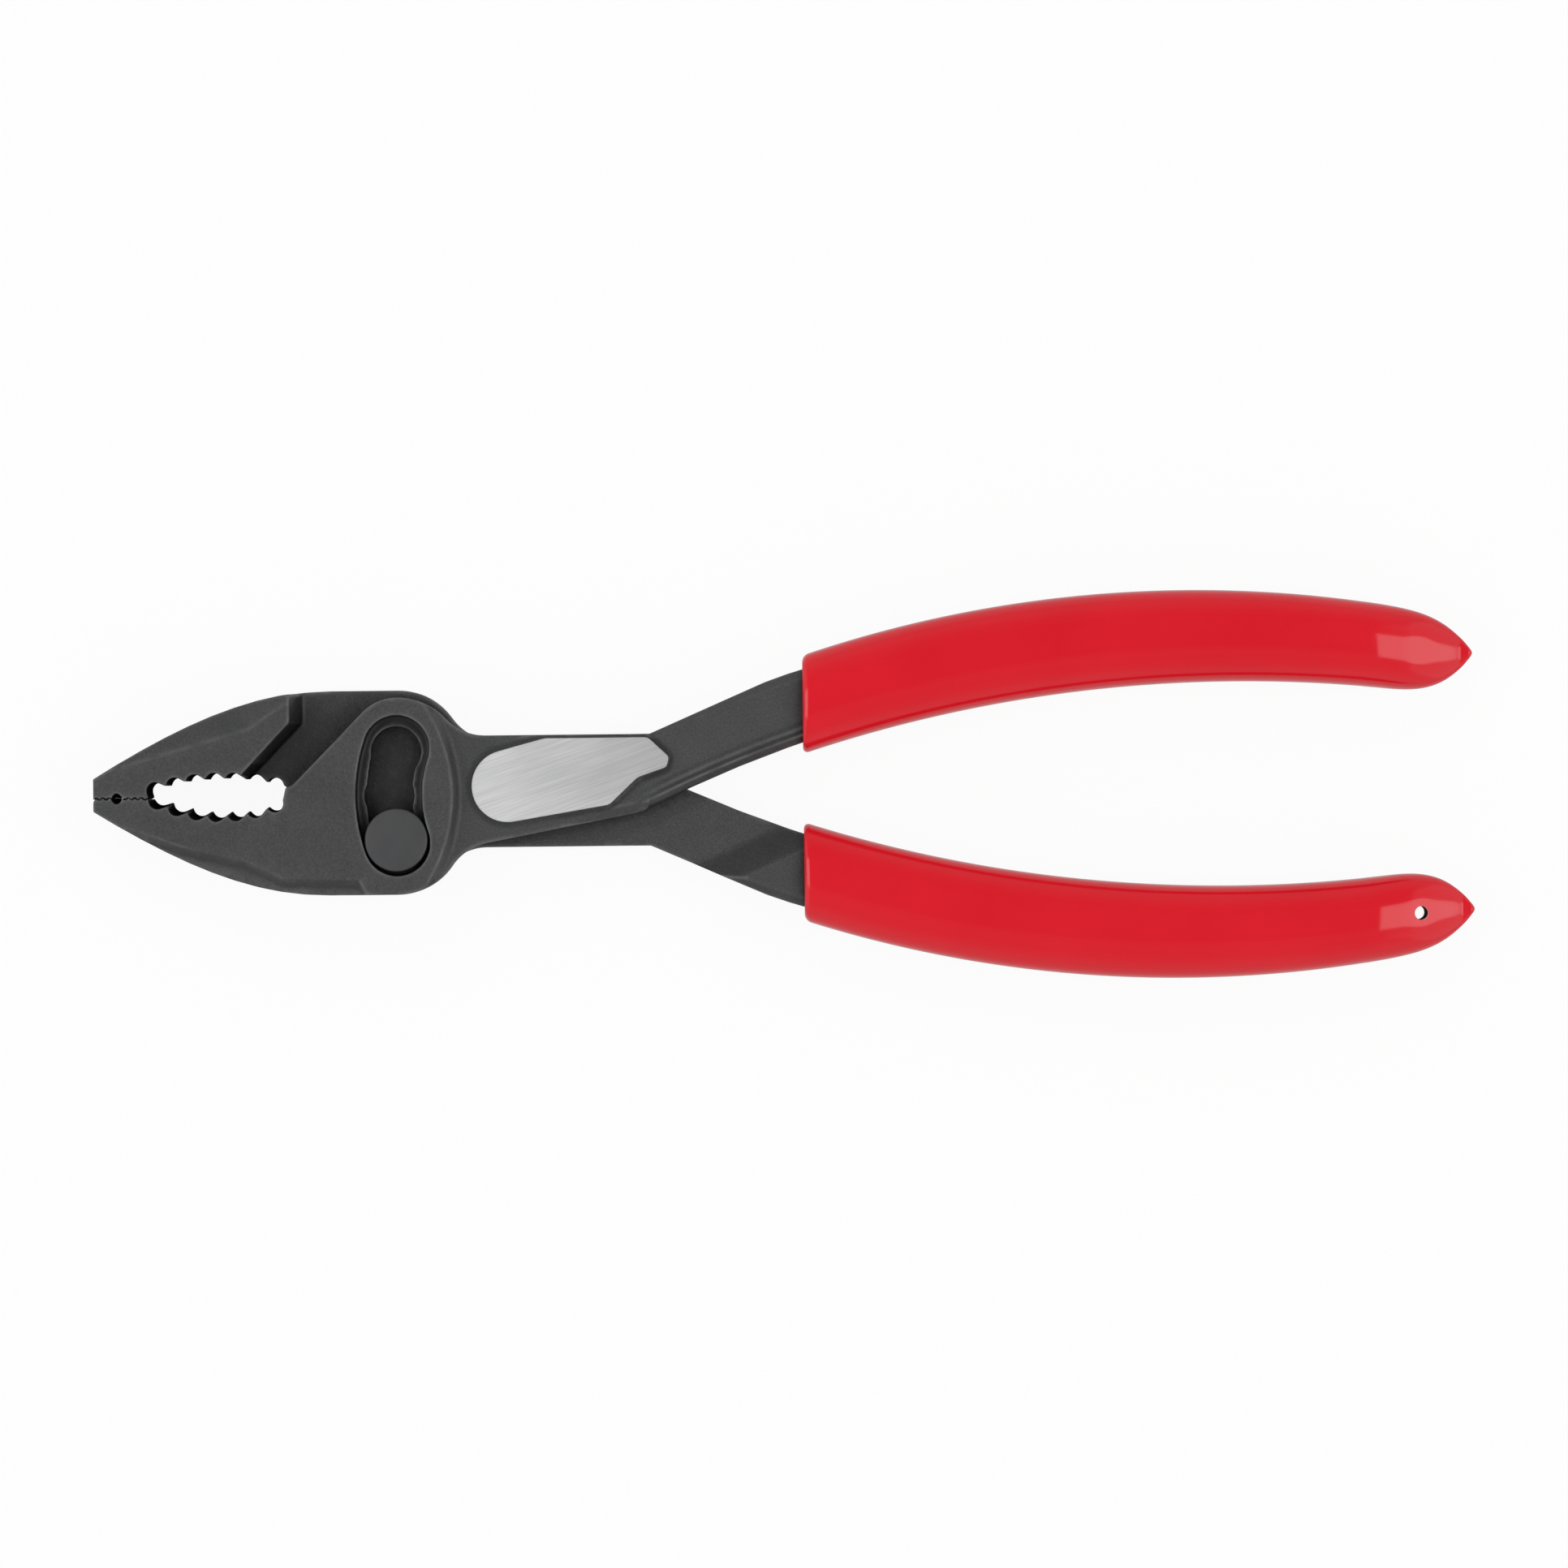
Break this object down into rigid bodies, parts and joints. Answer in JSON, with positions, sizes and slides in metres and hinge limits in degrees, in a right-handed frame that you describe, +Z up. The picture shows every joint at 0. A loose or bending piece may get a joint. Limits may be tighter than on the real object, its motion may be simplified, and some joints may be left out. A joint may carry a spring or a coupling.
{
  "type": "slip-joint pliers",
  "caption": "Slip-joint pliers: two lapped forged halves on a sliding pivot, serrated jaws with a scalloped pipe grip, bowed handles in glossy dipped grips.",
  "frame": {"origin": "on the surface the pliers lie on, under the middle of their length and width", "axes": "+X from the jaw tips to the grip ends, +Y across the tool towards the upper jaw and handle, +Z up from the back to the front face"},
  "size_m": [0.2032, 0.0572, 0.011],
  "materials": {
    "black_steel": "satin",
    "ground_steel": "brushed",
    "bolt_steel": "satin",
    "red_grip": "gloss"
  },
  "bodies": {
    "pivot": {"pivot_bolt": "bolt_steel", "pivot_nut": "bolt_steel"},
    "rear_half": {"rear_half": "black_steel", "lower_grip": "red_grip"},
    "washer": {"pivot_washer": "bolt_steel"},
    "front_half": {"front_half": "black_steel", "upper_grip": "red_grip"}
  },
  "joints": [
    {"name": "pivot_turn", "type": "hinge", "parent": "pivot", "child": "rear_half", "pos_m": [-0.0572, -0.007, 0], "axis": [0, 0, -1], "range_deg": [0, 50]},
    {"name": "slip_turn_back", "type": "hinge", "parent": "pivot", "child": "washer", "pos_m": [-0.0572, -0.007, 0], "axis": [0, 0, 1], "range_deg": [-31.3, 0]},
    {"name": "slip", "type": "hinge", "parent": "washer", "child": "front_half", "pos_m": [-0.03724, -0.00047, 0], "axis": [0, 0, 1], "range_deg": [0, 36.2]}
  ],
  "couplings": [
    {"joint": "slip_turn_back", "follows": "slip", "ratio": -0.862}
  ]
}
